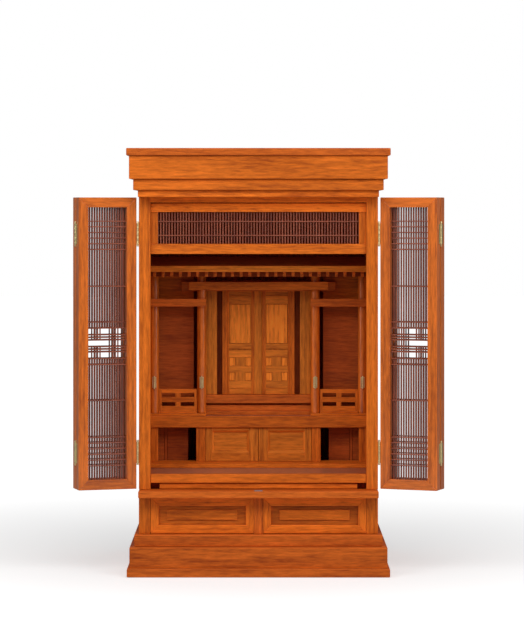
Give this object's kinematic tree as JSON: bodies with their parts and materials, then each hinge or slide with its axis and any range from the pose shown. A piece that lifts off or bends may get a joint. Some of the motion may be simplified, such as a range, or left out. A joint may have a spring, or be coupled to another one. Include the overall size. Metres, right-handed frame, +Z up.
{
  "type": "household altar cabinet",
  "caption": "Table-top wooden altar cabinet: folding lattice doors, an inner shrine with pillars and eave, a pull-out tray, drawers and a stepped plinth.",
  "frame": {"origin": "middle of the underside of the plinth, on its base board", "axes": "+Z up, +X to the right as seen from the front, the front faces -Y"},
  "size_m": [0.653, 0.3844, 0.7464],
  "materials": {
    "case_wood": "clear gloss lacquer over orange-brown hardwood with fine dark pores",
    "dark_band_wood": "clear gloss lacquer over redder hardwood",
    "lattice_wood": "satin lacquer on thin strips",
    "shrine_wood": "satin lacquer over golden hardwood",
    "panel_wood": "satin stain over thin board",
    "brass": "polished brass",
    "steel": "dark satin steel"
  },
  "bodies": {
    "case": {"face_frame": "case_wood", "side_wall_left": "case_wood", "side_wall_right": "case_wood", "cornice_moulding": "case_wood", "frieze": "case_wood", "transom_frame": "case_wood", "lintel": "case_wood", "outer_pillar_left": "case_wood", "outer_pillar_right": "case_wood", "inner_pillar_left": "case_wood", "inner_pillar_right": "case_wood", "fence_left": "case_wood", "fence_right": "case_wood", "platform_beam": "case_wood", "floor_board": "case_wood", "lower_front_frame": "case_wood", "plinth_lower": "dark_band_wood", "plinth_upper": "dark_band_wood", "drawer_case": "dark_band_wood", "waist_board": "dark_band_wood", "top_board": "dark_band_wood", "eave_rafters": "dark_band_wood", "tie_beam_left": "dark_band_wood", "tie_beam_right": "dark_band_wood", "shrine_floor": "dark_band_wood", "shrine_steps": "dark_band_wood", "transom_strips": "lattice_wood", "eave_board": "shrine_wood", "platform": "shrine_wood", "shrine_case": "shrine_wood", "back_wall": "panel_wood", "base_board": "panel_wood", "bay_panel_left": "panel_wood", "bay_panel_right": "panel_wood", "lower_panel_left": "panel_wood", "lower_panel_right": "panel_wood", "catch_plate": "steel", "left_case_hinge_upper": "brass", "left_case_hinge_lower": "brass", "right_case_hinge_upper": "brass", "right_case_hinge_lower": "brass"},
    "left_side_leaf": {"left_side_leaf_frame": "case_wood", "left_side_leaf_lattice": "lattice_wood", "left_fold_hinge_upper": "brass", "left_fold_hinge_lower": "brass"},
    "left_centre_leaf": {"left_centre_leaf_frame": "case_wood", "left_centre_leaf_lattice": "lattice_wood"},
    "right_side_leaf": {"right_side_leaf_frame": "case_wood", "right_side_leaf_lattice": "lattice_wood", "right_fold_hinge_upper": "brass", "right_fold_hinge_lower": "brass"},
    "right_centre_leaf": {"right_centre_leaf_frame": "case_wood", "right_centre_leaf_lattice": "lattice_wood"},
    "shrine_door_left": {"shrine_door_left": "shrine_wood"},
    "shrine_door_right": {"shrine_door_right": "shrine_wood"},
    "lower_door_left": {"lower_door_left": "shrine_wood"},
    "lower_door_right": {"lower_door_right": "shrine_wood"},
    "tray": {"tray": "case_wood"},
    "drawer_left": {"drawer_left": "case_wood"},
    "drawer_right": {"drawer_right": "case_wood"}
  },
  "joints": [
    {"name": "left_door_swing", "type": "hinge", "parent": "case", "child": "left_side_leaf", "pos_m": [-0.2119, -0.143, 0.4048], "axis": [0, 0, -1], "range_deg": [-163, 15]},
    {"name": "left_door_fold", "type": "hinge", "parent": "left_side_leaf", "child": "left_centre_leaf", "pos_m": [-0.3206, -0.15307, 0.4048], "axis": [0, 0, -1], "range_deg": [-180, 0]},
    {"name": "right_door_swing", "type": "hinge", "parent": "case", "child": "right_side_leaf", "pos_m": [0.2119, -0.143, 0.4048], "axis": [0, 0, 1], "range_deg": [-158.5, 19.5]},
    {"name": "right_door_fold", "type": "hinge", "parent": "right_side_leaf", "child": "right_centre_leaf", "pos_m": [0.31948, -0.16157, 0.4048], "axis": [0, 0, 1], "range_deg": [-180, 0]},
    {"name": "shrine_door_left_swing", "type": "hinge", "parent": "case", "child": "shrine_door_left", "pos_m": [-0.05665, 0.06205, 0.395], "axis": [0, 0, -1], "range_deg": [0, 90]},
    {"name": "shrine_door_right_swing", "type": "hinge", "parent": "case", "child": "shrine_door_right", "pos_m": [0.05665, 0.06205, 0.395], "axis": [0, 0, 1], "range_deg": [0, 90]},
    {"name": "lower_door_left_swing", "type": "hinge", "parent": "case", "child": "lower_door_left", "pos_m": [-0.09655, 0.02755, 0.212], "axis": [0, 0, -1], "range_deg": [0, 90]},
    {"name": "lower_door_right_swing", "type": "hinge", "parent": "case", "child": "lower_door_right", "pos_m": [0.09655, 0.02755, 0.212], "axis": [0, 0, 1], "range_deg": [0, 90]},
    {"name": "tray_slide", "type": "slide", "parent": "case", "child": "tray", "axis": [0, -1, 0], "range_m": [0, 0.2]},
    {"name": "drawer_left_slide", "type": "slide", "parent": "case", "child": "drawer_left", "axis": [0, -1, 0], "range_m": [0, 0.22]},
    {"name": "drawer_right_slide", "type": "slide", "parent": "case", "child": "drawer_right", "axis": [0, -1, 0], "range_m": [0, 0.22]}
  ]
}
